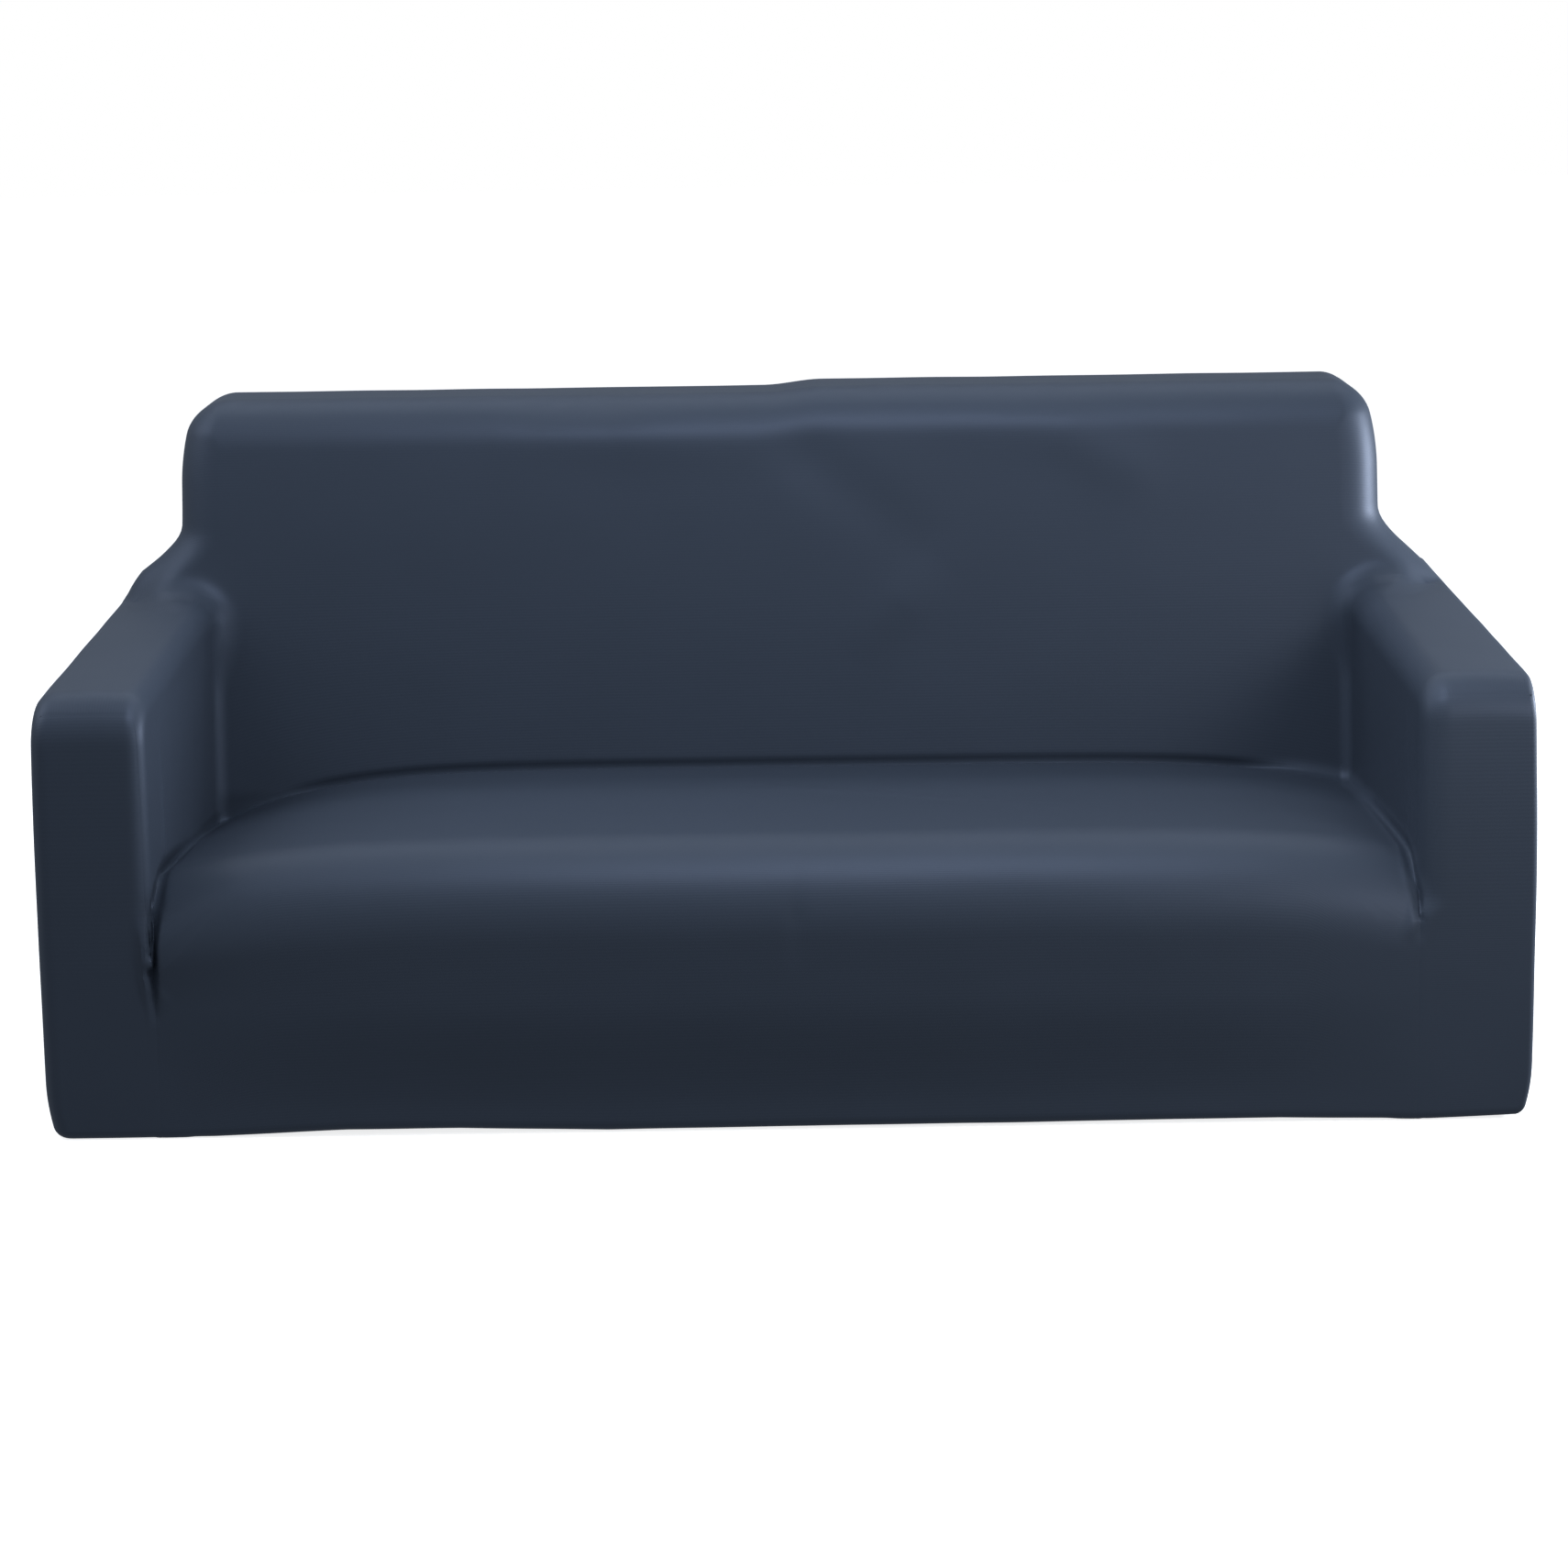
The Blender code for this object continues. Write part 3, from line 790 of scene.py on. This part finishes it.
cover = {name: make_panel(name) for name in PANELS}
for name, piece in cover.items():
    print(piece.name, len(piece.data.polygons), "faces")

# %% [markdown]
# ## The knit
#
# The cloth is a polyester and elastane jersey, dyed a dark slate blue-grey. It is knitted in fine loops
# from smooth filament yarn and pulled tight over the sofa. Such loops lie flat: they throw a wide, weak and
# bluish gleam back from the sides that face a lamp, and leave the others dark. A plain matt colour would
# look like paper, and a strong sheen like velvet. So the base is dark, the specular light is broad and has
# the yarn's tint, a soft mottle varies the dye, and a shallow bump draws the ribs.

# %% Knit material
SLATE, SLATE_SHADE = "#3a424f", "#38404c"
GLEAM = "#c6d4f6"
# The real ribs are about 1 mm apart, too fine to show in the render, so they are drawn this coarse.
RIB_PITCH = 0.0035  # metres from rib to rib
RIB_DEPTH, RIB_STRENGTH = 0.0003, 0.12
RIB_WANDER = 0.6  # how unevenly the ribs run
BAND_PITCH = math.pi / 10  # a wave texture's bands are this far apart at a scale of 1
MOTTLE = 9.0  # patches of dye in a metre


def knit_material():
    """Slate blue-grey jersey knit of polyester and elastane."""
    # Knitted on a circular machine, piece-dyed and heat-set: the surface is even and has no pile, so it
    # gives the eye a broad soft gleam in place of a highlight, over faint level ribs.
    material = bpy.data.materials.new("slate_jersey_knit")
    material.use_nodes = True
    tree = material.node_tree
    shader = tree.nodes["Principled BSDF"]
    cloth_map = add_node(tree, "ShaderNodeUVMap", uv_map="cloth")
    ribs = add_node(
        tree,
        "ShaderNodeTexWave",
        {"Vector": cloth_map.outputs["UV"], "Scale": BAND_PITCH / RIB_PITCH, "Distortion": RIB_WANDER},
        wave_type="BANDS",
        bands_direction="Y",
    )
    place = add_node(tree, "ShaderNodeTexCoord")
    mottle = add_node(
        tree,
        "ShaderNodeTexNoise",
        {"Vector": place.outputs["Object"], "Scale": MOTTLE, "Detail": 3.0, "Roughness": 0.5},
    )
    tone = add_node(
        tree,
        "ShaderNodeMix",
        {"Factor": mottle.outputs["Fac"], "A": linear(SLATE), "B": linear(SLATE_SHADE)},
        data_type="RGBA",
    )
    bump = add_node(
        tree,
        "ShaderNodeBump",
        {"Height": ribs.outputs["Fac"], "Strength": RIB_STRENGTH, "Distance": RIB_DEPTH},
    )
    tree.links.new(tone.outputs["Result"], shader.inputs["Base Color"])
    tree.links.new(bump.outputs["Normal"], shader.inputs["Normal"])
    shader.inputs["Roughness"].default_value = 0.5
    shader.inputs["Specular IOR Level"].default_value = 0.42
    shader.inputs["Specular Tint"].default_value = linear(GLEAM)
    return material


knit = knit_material()
for piece in cover.values():
    piece.data.materials.clear()
    piece.data.materials.append(knit)
print("material:", knit.name)

# %% [markdown]
# ## Fit the panels to the frame
#
# Each sheet stands for the solid of the same name and rides on the part's one body, because the cover
# has no part that moves on its own.

# %% Frame calls
for name, piece in cover.items():
    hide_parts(name)
    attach(piece, "root")
print("sheets:", len(cover))

# %% [markdown]
# ## Floor, light and camera
#
# A pale floor that runs on out of sight makes a plain studio. One large lamp would light the cloth evenly
# and hide its form, so there are six: three cool ones overhead lift the seat, the tops and the left arm,
# a low cool one from the right lights the left arm's inner side, and two small plain ones light the right
# arm's front. The camera stands in front, a little higher than the back, and looks down at the cover.

# %% Floor
FLOOR_SIZE = 40.0
FLOOR_LEVEL = -0.0005  # just below the hem, so that the two don't flicker
FLOOR_GLOW = 0.80  # keeps the pale floor white where little light reaches it
WHITE = (1.0, 1.0, 1.0, 1.0)
bpy.ops.mesh.primitive_plane_add(size=FLOOR_SIZE, location=(0, 0, FLOOR_LEVEL))
floor = bpy.context.active_object
floor.name = "studio_floor"
# Flat white paint: rough and without gloss, so it shows the cover's soft shadow and nothing else.
floor_paint = bpy.data.materials.new("pale_floor_paint")
floor_paint.use_nodes = True
floor_shader = floor_paint.node_tree.nodes["Principled BSDF"]
floor_shader.inputs["Base Color"].default_value = linear("#f4f4f4")
floor_shader.inputs["Roughness"].default_value = 0.9
floor_shader.inputs["Specular IOR Level"].default_value = 0.0
floor_shader.inputs["Emission Color"].default_value = WHITE
floor_shader.inputs["Emission Strength"].default_value = FLOOR_GLOW
floor.data.materials.append(floor_paint)
# The floor throws no light back up, so that the drop of the seat front stays as deep as in a big room.
floor.visible_diffuse = False
floor.visible_glossy = False
print("floor:", floor.name)

# %% Lamps
COOL, PLAIN = (0.84, 0.91, 1.0), (1.0, 1.0, 1.0)
LAMPS = (
    # name, place, aim, width, depth, watts, tone
    ("overhead_rear", (0.0, 1.5, 3.0), (0.0, 0.8, 0.0), 4.0, 0.6, 23.0, COOL),
    ("overhead_left", (-3.0, 0.0, 3.0), (0.0, 0.0, 0.4), 2.0, 2.5, 47.0, COOL),
    ("overhead_middle", (0.15, -0.9, 2.4), (0.15, -0.5, 0.3), 1.0, 0.4, 24.0, COOL),
    ("low_right", (3.2, 0.5, 0.95), (-0.76, -0.25, 0.42), 1.0, 0.6, 94.0, COOL),
    ("near_right", (2.2, -1.2, 1.3), (0.84, -0.4, 0.5), 0.8, 0.8, 4.0, PLAIN),
    ("near_right_front", (1.3, -1.3, 1.0), (0.84, -0.4, 0.5), 0.4, 0.4, 4.4, PLAIN),
)
for name, place, aim, width, depth, watts, tone in LAMPS:
    bpy.ops.object.light_add(type="AREA", location=place)
    lamp = bpy.context.active_object
    lamp.name = name
    lamp.rotation_euler = (Vector(aim) - Vector(place)).to_track_quat("-Z", "Y").to_euler()
    lamp.data.shape = "RECTANGLE"
    lamp.data.size, lamp.data.size_y = width, depth
    lamp.data.energy = watts
    lamp.data.color = tone
print("lamps:", len(LAMPS))

# %% Room
# The room is white to the camera, and gives a weaker, cool light from all sides to the cloth.
ROOM_LIGHT, ROOM_TONE = 0.29, (0.86, 0.93, 1.0, 1.0)
world = bpy.data.worlds.new("studio_room")
bpy.context.scene.world = world
world.use_nodes = True
sky = world.node_tree
room = sky.nodes["Background"]
room.inputs["Color"].default_value = ROOM_TONE
room.inputs["Strength"].default_value = ROOM_LIGHT
seen = add_node(sky, "ShaderNodeBackground", {"Color": WHITE, "Strength": 1.0})
sight = add_node(sky, "ShaderNodeLightPath")
either = add_node(sky, "ShaderNodeMixShader", {"Fac": sight.outputs["Is Camera Ray"]})
sky.links.new(room.outputs["Background"], either.inputs[1])
sky.links.new(seen.outputs["Background"], either.inputs[2])
sky.links.new(either.outputs["Shader"], sky.nodes["World Output"].inputs["Surface"])
bpy.context.scene.view_settings.view_transform = "Standard"
print("room light:", ROOM_LIGHT)

# %% Camera
CAMERA_PLACE = (0.0, -4.924, 1.389)
LOOK_DOWN, CAMERA_ROLL = 12.0, -0.85  # degrees
LENS, SENSOR = 88.42, 36.0  # millimetres
bpy.ops.object.camera_add(location=CAMERA_PLACE)
camera = bpy.context.active_object
camera.name = "studio_camera"
tilt = Matrix.Rotation(math.radians(90 - LOOK_DOWN), 4, "X")
roll = Matrix.Rotation(math.radians(CAMERA_ROLL), 4, "Z")
camera.matrix_world = Matrix.Translation(CAMERA_PLACE) @ tilt @ roll
camera.data.sensor_width = SENSOR
camera.data.lens = LENS
bpy.context.scene.camera = camera
print("camera:", CAMERA_PLACE, "lens", LENS, "mm")
